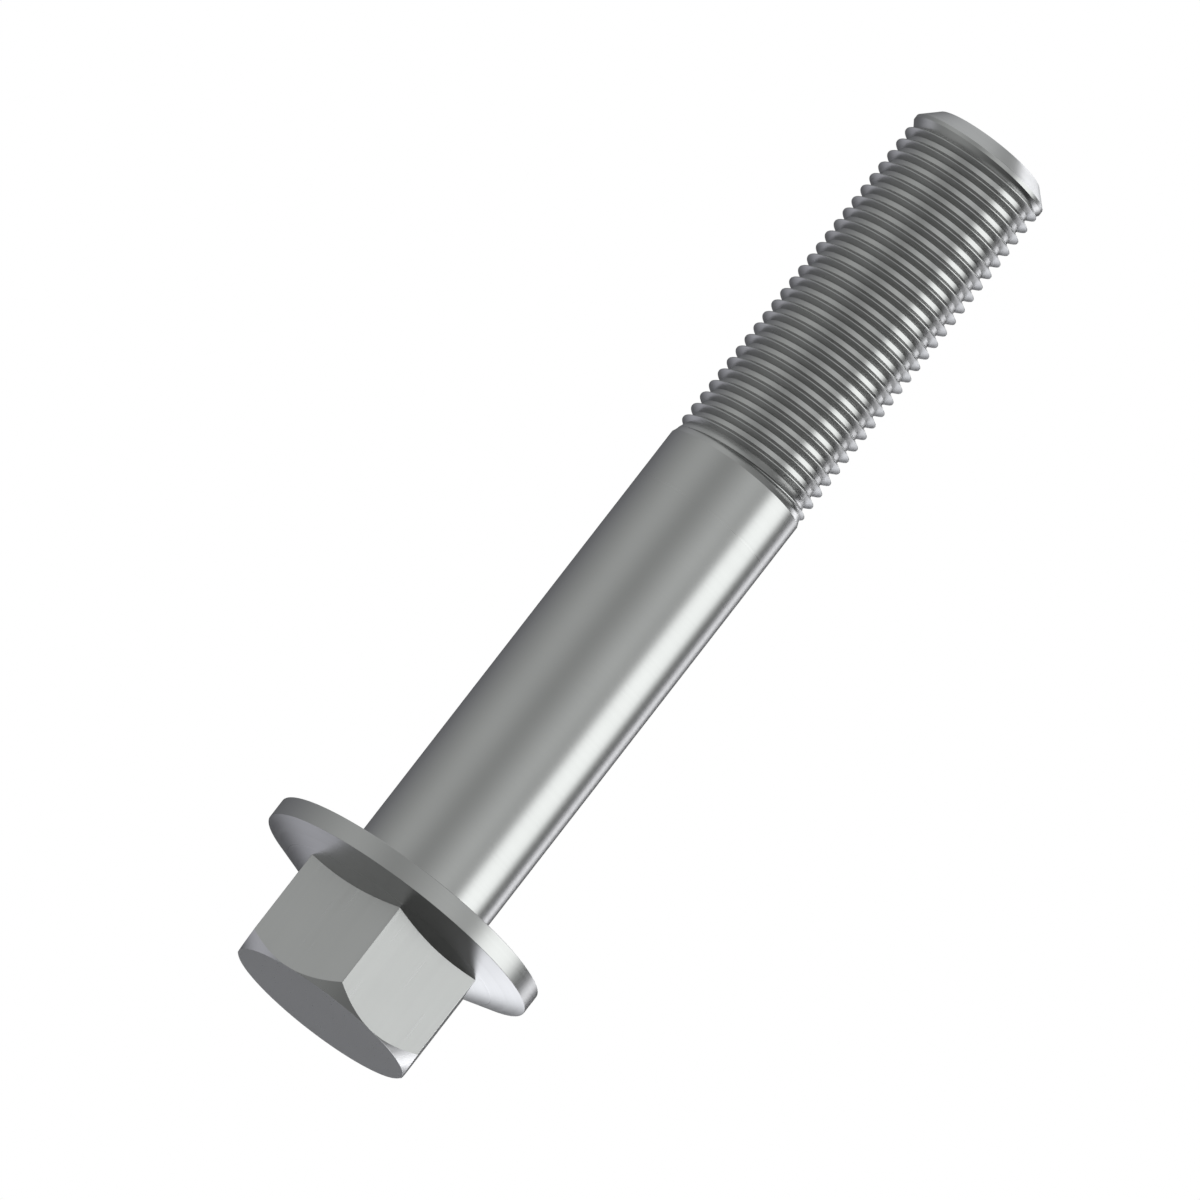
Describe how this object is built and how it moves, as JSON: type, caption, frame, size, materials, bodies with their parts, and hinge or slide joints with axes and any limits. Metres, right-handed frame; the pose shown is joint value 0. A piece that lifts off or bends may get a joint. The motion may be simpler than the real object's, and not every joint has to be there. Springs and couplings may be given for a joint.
{
  "type": "hexagon flange bolt",
  "caption": "Hexagon bolt with a conical flange forged under its head, a plain round shank and a fine-threaded end with a chamfered point.",
  "frame": {"origin": "centre of the bearing face under the flange, on the bolt's axis", "axes": "+Z runs along the axis from the bearing face to the threaded tip, so the bolt stands on its head; two corners of the hexagon lie on the Y axis"},
  "size_m": [0.0324, 0.0324, 0.1125],
  "materials": {
    "steel": "bright satin steel, turned and rolled, uncoated"
  },
  "bodies": {
    "root": {"flange_bolt": "steel"}
  },
  "joints": []
}
